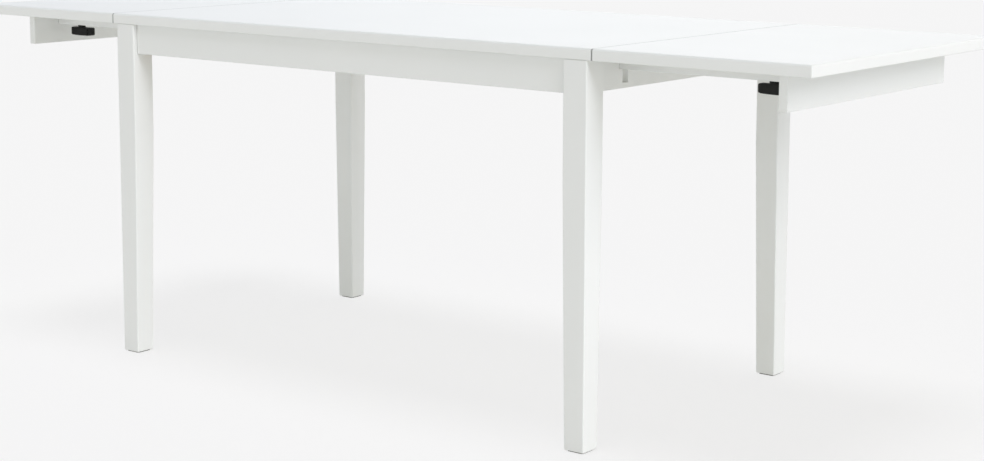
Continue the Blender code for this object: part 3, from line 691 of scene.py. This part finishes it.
def thread_rings(start, end, radius):
    """Rings close enough to draw a thread, with plain rings at both ends."""
    count = max(2, round((end - start) / THREAD_PITCH * THREAD_RINGS_PER_TURN))
    distances = [start + (end - start) * place / count for place in range(1, count)]
    core = radius - THREAD_DEPTH
    return [(start, core), *((distance, radius, "thread") for distance in distances), (end, core)]


def box_foot(low, high):
    """The middle of a box's lower face."""
    return Vector(((low.x + high.x) / 2, (low.y + high.y) / 2, low.z))


def make_stem(corner):
    """A steel stem under a flat collar with a hexagon socket in its top."""
    low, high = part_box(corner + "_knob_stem")
    top = high.z - low.z
    collar, edge = (high.x - low.x) / 2, STEM_COLLAR_EDGE
    underside = top - STEM_COLLAR_THICKNESS
    profile = [
        (top - STEM_SOCKET_DEPTH, STEM_SOCKET_RADIUS, "hex"),
        (top, STEM_SOCKET_RADIUS, "hex"),
        (top, collar - STEM_COLLAR_TOP_EDGE),
        (top - edge, collar),
        (underside + edge, collar),
        (underside, collar - edge),
        (underside, STEM_RADIUS),
        *reversed(thread_rings(STEM_THREAD_START, top - STEM_PLAIN_LENGTH, STEM_RADIUS)),
        (0.0, STEM_RADIUS - STEM_TIP_TAPER),
    ]
    bm = bmesh.new()
    add_turned(bm, box_foot(low, high), UP, profile)
    name, node = corner + "_lever_stem", corner + "_knob_stem"
    finish_piece(name, bm, ZINC, corner + "_knob", node)


def make_leaf_socket(corner, side):
    """A knurled brass insert with a chamfered bore."""
    low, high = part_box(corner + "_leaf_socket")
    height, outer = high.z - low.z, (high.x - low.x) / 2
    groove = outer - INSERT_GROOVE
    profile = [
        (height - INSERT_FLOOR, INSERT_BORE),
        (INSERT_CHAMFER, INSERT_BORE),
        (0.0, INSERT_BORE + INSERT_CHAMFER),
        (0.0, outer - INSERT_RIM_EDGE),
        (INSERT_RIM_EDGE, outer),
        (INSERT_RIM, outer),
        (INSERT_RIM + INSERT_GROOVE, groove),
        (INSERT_RIM + 2 * INSERT_GROOVE, outer, "knurl"),
        (height - 2 * INSERT_TAPER, outer, "knurl"),
        (height - INSERT_TAPER, outer - INSERT_TAPER),
        (height, outer - INSERT_END_TAPER),
    ]
    bm = bmesh.new()
    add_turned(bm, box_foot(low, high), UP, profile, INSERT_RING_POINTS)
    name, node = corner + "_brass_insert", corner + "_leaf_socket"
    finish_piece(name, bm, BRASS, side + "_leaf", node)


def make_hanger_bolt(corner, inward):
    """A hanger bolt through the corner block. Gives back its outer end, length and radius."""
    low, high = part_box(corner + "_hanger_bolt")
    radius = (high.z - low.z) / 2
    half = ((high - low).x / 2 - radius * abs(inward.y)) / abs(inward.x)
    base = (low + high) / 2 - inward * half
    length = 2 * half
    shank, shank_end = radius * BOLT_SHANK_SHARE, length * BOLT_SHANK_LENGTH_SHARE
    profile = [
        (0.0, radius * BOLT_POINT_SHARE),
        (BOLT_POINT, shank),
        (shank_end, shank),
        *thread_rings(shank_end + BOLT_RUNOUT, length - BOLT_END, radius),
        (length, radius - BOLT_END_TAPER),
    ]
    bm = bmesh.new()
    add_turned(bm, base, inward, profile, BOLT_RING_POINTS)
    name, node = corner + "_corner_bolt", corner + "_hanger_bolt"
    finish_piece(name, bm, ZINC, "table", node)
    return base, length, radius


def make_corner_bolt_and_nut(corner, side_sign, depth_sign):
    """The hanger bolt and the flange nut that draws the leg tight."""
    inward = Vector((-side_sign, -depth_sign, 0.0)).normalized()
    base, length, radius = make_hanger_bolt(corner, inward)
    low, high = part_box(corner + "_flange_nut")
    flange = (high.z - low.z) / 2
    rim = flange - NUT_FLANGE_INSET
    bore, hexagon, top = radius + NUT_BORE_GAP, NUT_HALF_WIDTH, NUT_THICKNESS
    profile = [
        (0.0, bore + NUT_SEAT_CHAMFER),
        (0.0, rim - NUT_SEAT_CHAMFER),
        (NUT_FLANGE_EDGE, rim),
        (NUT_FLANGE, rim),
        (NUT_NECK, hexagon + NUT_NECK_SLOPE),
        (NUT_NECK + NUT_NECK_SLOPE / 2, hexagon, "hex"),
        (top - NUT_CROWN_START, hexagon, "hex"),
        (top - NUT_CROWN_MIDDLE, hexagon * NUT_CROWN_MIDDLE_SHARE),
        (top, hexagon * NUT_CROWN_TOP_SHARE),
        (top, bore + NUT_TOP_CHAMFER),
        (top - NUT_TOP_CHAMFER, bore),
        (NUT_SEAT_CHAMFER, bore),
    ]
    seat = base + inward * (length - HANGER_END - NUT_SETBACK)
    bm = bmesh.new()
    add_turned(bm, seat, inward, profile, NUT_RING_POINTS, closed=True)
    name, node = corner + "_corner_nut", corner + "_flange_nut"
    finish_piece(name, bm, ZINC, "table", node, NUT_SMOOTH_ANGLE)


def add_block(bm, a, b):
    """A block between two opposite corners."""
    low = Vector(min(pair) for pair in zip(a, b))
    high = Vector(max(pair) for pair in zip(a, b))
    place = Matrix.Translation((low + high) / 2) @ Matrix.Diagonal((*(high - low), 1.0))
    bmesh.ops.create_cube(bm, size=1.0, matrix=place)


def boolean(bm, tool, operation):
    """Joins tool to bm, or cuts it away, and gives back the new bmesh."""
    objects = []
    for shape in (bm, tool):
        bmesh.ops.recalc_face_normals(shape, faces=shape.faces)
        mesh = bpy.data.meshes.new("scratch")
        shape.to_mesh(mesh)
        shape.free()
        made = bpy.data.objects.new("scratch", mesh)
        bpy.context.scene.collection.objects.link(made)
        objects.append(made)
    modifier = objects[0].modifiers.new("scratch", "BOOLEAN")
    modifier.operation = operation
    modifier.solver = "EXACT"
    modifier.object = objects[1]
    graph = bpy.context.evaluated_depsgraph_get()
    result = bmesh.new()
    result.from_mesh(objects[0].evaluated_get(graph).to_mesh())
    for made in objects:
        mesh = made.data
        bpy.data.objects.remove(made)
        bpy.data.meshes.remove(mesh)
    return result


def bracket_outline(leg):
    """The bent sheet's section as (into the table, down): outside the bend first, then inside."""
    bend, sheet = BRACKET_BEND, BRACKET_SHEET
    inner = bend - sheet
    outline = [(0.0, leg), (0.0, bend)]
    outline += [(bend - bend * cos(a), bend - bend * sin(a)) for a in BEND_ANGLES]
    outline += [(bend, 0.0), (leg, 0.0), (leg, sheet), (bend, sheet)]
    outline += [(bend - inner * cos(a), bend - inner * sin(a)) for a in reversed(BEND_ANGLES)]
    outline += [(sheet, bend), (sheet, leg)]
    return outline


def make_top_bracket(corner, depth_sign):
    """A bent steel angle with rounded ends, and a countersunk hole with a screw in each leg."""
    low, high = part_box(corner + "_top_bracket")
    wall = low.y if depth_sign < 0 else high.y
    leg, sheet = high.y - low.y, BRACKET_SHEET
    bm = bmesh.new()
    loops = []
    for x in (low.x, high.x):
        loop = []
        for into, down in bracket_outline(leg):
            loop.append(bm.verts.new((x, wall - depth_sign * into, high.z - down)))
        loops.append(loop)
    join_all_loops(bm, loops)
    ends = []
    for edge in bm.edges:
        a, b = (vert.co for vert in edge.verts)
        sheet_long = abs((a - b).length - sheet) < SHEET_TOLERANCE
        square = abs(a.x - b.x) < SHEET_TOLERANCE / 2
        at_end = max(abs(a.y - wall), high.z - a.z) > leg - END_TOLERANCE
        if sheet_long and square and at_end:
            ends.append(edge)
    rounding, steps = BRACKET_END_ROUNDING, BRACKET_END_STEPS
    bmesh.ops.bevel(bm, geom=ends, offset=rounding, segments=steps, affect="EDGES", profile=0.5)
    x = (low.x + high.x) / 2
    upper = Vector((x, wall - depth_sign * BRACKET_HOLE, high.z - sheet))
    lower = Vector((x, wall - depth_sign * sheet, high.z - BRACKET_HOLE))
    holes = ((upper, UP), (lower, Vector((0.0, depth_sign, 0.0))))
    tool = bmesh.new()
    for centre, axis in holes:
        add_turned(tool, centre, axis, BRACKET_HOLE_PROFILE, BRACKET_HOLE_POINTS)
    bm = boolean(bm, tool, "DIFFERENCE")
    name, node = corner + "_angle_bracket", corner + "_top_bracket"
    finish_piece(name, bm, ZINC, "table", node)
    for place, (centre, axis) in enumerate(holes):
        make_screw(f"{corner}_bracket_screw_{place + 1}", centre, axis, BRACKET_SCREW_LENGTH)


def make_screw(name, seat, axis, length):
    """A pan-head wood screw with a cross recess. The seat is under its head."""
    shank = [
        (0.0, SCREW_SHANK_RADIUS),
        (length - SCREW_POINT, SCREW_SHANK_RADIUS),
        (length, SCREW_POINT_RADIUS),
    ]
    bm = bmesh.new()
    add_turned(bm, seat, axis, [*SCREW_HEAD, *shank], SCREW_RING_POINTS)
    finish_piece(name, bm, ZINC, "table")


def make_guide_screws(corner):
    """Four screws up through the guide's flanges into the top."""
    low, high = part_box(corner + "_guide")
    across = (low.y + GUIDE_SCREW_INSET_Y, high.y - GUIDE_SCREW_INSET_Y)
    along = (low.x + GUIDE_SCREW_INSET_X, high.x - GUIDE_SCREW_INSET_X)
    for place, (x, y) in enumerate([(x, y) for x in along for y in across]):
        seat = Vector((x, y, low.z - GUIDE_SCREW_GAP))
        make_screw(f"{corner}_guide_screw_{place + 1}", seat, UP, GUIDE_SCREW_LENGTH)


def lever_section(x, half_width, low, high):
    """One section across the lever at x, with rounded corners."""
    points = []
    for side_y, side_z, quarter in ((1, 1, 0), (-1, 1, 1), (-1, -1, 2), (1, -1, 3)):
        y = side_y * (half_width - LEVER_CORNER)
        z = high - LEVER_CORNER if side_z > 0 else low + LEVER_CORNER
        for step in range(LEVER_CORNER_STEPS + 1):
            angle = (quarter + step / LEVER_CORNER_STEPS) * pi / 2
            points.append((x, y + LEVER_CORNER * cos(angle), z + LEVER_CORNER * sin(angle)))
    return points


def lever_sections(short_tip, long_tip):
    """The bar from tip to tip: blunt rounded ends, a belly below and a proud rib before the grip."""
    middle, half = (long_tip - short_tip) / 2, (long_tip + short_tip) / 2
    plain = [middle - half * cos(pi * step / LEVER_STEPS) for step in range(LEVER_STEPS + 1)]
    places = [(x, 0.0) for x in plain if abs(x - LEVER_RIB) > LEVER_RIB_CLEAR]
    places += [(LEVER_RIB + along, proud) for along, proud in LEVER_RIB_SECTIONS]
    sections = []
    for x, proud in sorted(places):
        to_tip = min(x + short_tip, long_tip - x)
        blunt = 1.0 - min(to_tip / LEVER_BLUNT_LENGTH, 1.0)
        bend = max(0.0, 1.0 - to_tip / LEVER_BEND_LENGTH) ** 2
        half_width = LEVER_TIP_HALF_WIDTH + LEVER_SWELL * (1.0 - blunt**2) ** 0.5 + proud
        belly = LEVER_BELLY * ((x - middle) / half) ** 2
        low = belly + LEVER_TIP_RISE * bend - proud / 2
        sections.append(lever_section(x, half_width, low, LEVER_HEIGHT - LEVER_TIP_FALL * bend))
    return sections


def lever_neck(pivot, top_z):
    """The oval neck between the bar and the bearer."""
    foot = pivot + UP * (LEVER_HEIGHT - NECK_OVERLAP)
    height = top_z - foot.z
    profile = list(zip((0.0, height - NECK_EDGE, height), NECK_RADII))
    neck = bmesh.new()
    add_turned(neck, foot, UP, profile, NECK_RING_POINTS)
    squeeze = Matrix.Diagonal((1.0, NECK_OVAL, 1.0, 1.0))
    squeeze = Matrix.Translation(foot) @ squeeze @ Matrix.Translation(-foot)
    bmesh.ops.transform(neck, matrix=squeeze, verts=neck.verts)
    return neck


def lever_hollows(pivot):
    """What is cut out of the bar: the screw's recess, the grooves below and the grip's pockets."""
    hollows = bmesh.new()
    add_turned(hollows, pivot + UP * RECESS_DEPTH, -UP, RECESS_PROFILE)
    across = Vector((0.0, GROOVE_HALF_LENGTH, 0.0))
    groove = ((0.0, GROOVE_RADIUS), (2 * GROOVE_HALF_LENGTH, GROOVE_RADIUS))
    for place in range(GROOVES):
        x = LEVER_RIB - GROOVE_FROM_RIB - GROOVE_PITCH * place
        start = pivot + Vector((x, 0.0, -GROOVE_SINK)) - across
        add_turned(hollows, start, across.normalized(), groove, GROOVE_RING_POINTS)
    for front in (-1, 1):
        for shelf in POCKET_SHELVES:
            near = Vector((LEVER_RIB + POCKET_START, front * POCKET_FLOOR, shelf))
            far = Vector((LEVER_RIB + POCKET_END, front * POCKET_MOUTH, shelf + POCKET_HEIGHT))
            add_block(hollows, pivot + near, pivot + far)
    return hollows


def make_lever(corner):
    """The locking lever: a moulded bar on an oval neck, with a pocketed grip and a screw below."""
    node = corner + "_knob"
    joint = next(j for j in frame["joints"] if j["child"] == node)
    low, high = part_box(node)
    pivot = Vector(joint["pos_m"])
    pivot.z = low.z
    bm = bmesh.new()
    loops = []
    for points in lever_sections(pivot.x - low.x, high.x - pivot.x):
        loops.append([bm.verts.new(pivot + Vector(point)) for point in points])
    join_all_loops(bm, loops)
    bm = boolean(bm, lever_neck(pivot, high.z), "UNION")
    bm = boolean(bm, lever_hollows(pivot), "DIFFERENCE")
    stem_low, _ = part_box(corner + "_knob_stem")
    foot = Vector((pivot.x, pivot.y, stem_low.z - BORE_GAP))
    radius, depth = STEM_RADIUS + BORE_GAP, high.z - stem_low.z + BORE_SPARE
    bore = bmesh.new()
    add_turned(bore, foot, UP, ((0.0, radius), (depth, radius)), BORE_RING_POINTS)
    bm = boolean(bm, bore, "DIFFERENCE")
    finish_piece(corner + "_lever", bm, PLASTIC, node, node, LEVER_SMOOTH_ANGLE)
    cap = bmesh.new()
    add_turned(cap, pivot + UP * CAP_DEPTH, -UP, CAP_PROFILE, CAP_RING_POINTS)
    finish_piece(corner + "_lever_screw", cap, ZINC, node)


make_camera()
make_world()
make_suns(make_floor())
bpy.context.scene.view_settings.view_transform = "Standard"

PLASTIC = make_plastic()
ZINC = make_zinc()
BRASS = make_brass()
dress_frame(make_edge_shading(), PLASTIC)

for corner, side, side_sign, depth_sign in CORNERS:
    make_lever(corner)
    make_stem(corner)
    make_leaf_socket(corner, side)
    make_corner_bolt_and_nut(corner, side_sign, depth_sign)
    make_top_bracket(corner, depth_sign)
    make_guide_screws(corner)

bpy.context.view_layer.update()
